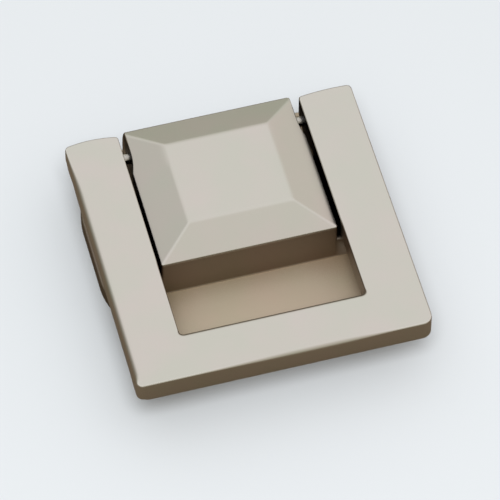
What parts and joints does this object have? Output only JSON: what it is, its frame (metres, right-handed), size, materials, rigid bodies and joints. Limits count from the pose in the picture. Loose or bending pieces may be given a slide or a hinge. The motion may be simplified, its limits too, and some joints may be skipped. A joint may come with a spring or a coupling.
{
  "type": "ring pull handle",
  "caption": "Square ring pull for a drawer or cupboard: a U-shaped bail hinged on a faceted block with a round-cornered back plate.",
  "frame": {"origin": "on the back face of the plate, midway between the two fixing holes", "axes": "+X along the hinge rod, +Y from the bar towards the hinge, +Z out of the drawer front"},
  "size_m": [0.0522, 0.0579, 0.0144],
  "materials": {
    "satin_nickel": "satin",
    "bright_steel": "bright drawn"
  },
  "bodies": {
    "base": {"base": "satin_nickel"},
    "bail": {"bail": "satin_nickel", "hinge_rod": "bright_steel"}
  },
  "joints": [
    {"name": "bail_hinge", "type": "hinge", "parent": "base", "child": "bail", "pos_m": [0, 0.0133, 0.0091], "axis": [-1, 0, 0], "range_deg": [0, 180]}
  ]
}
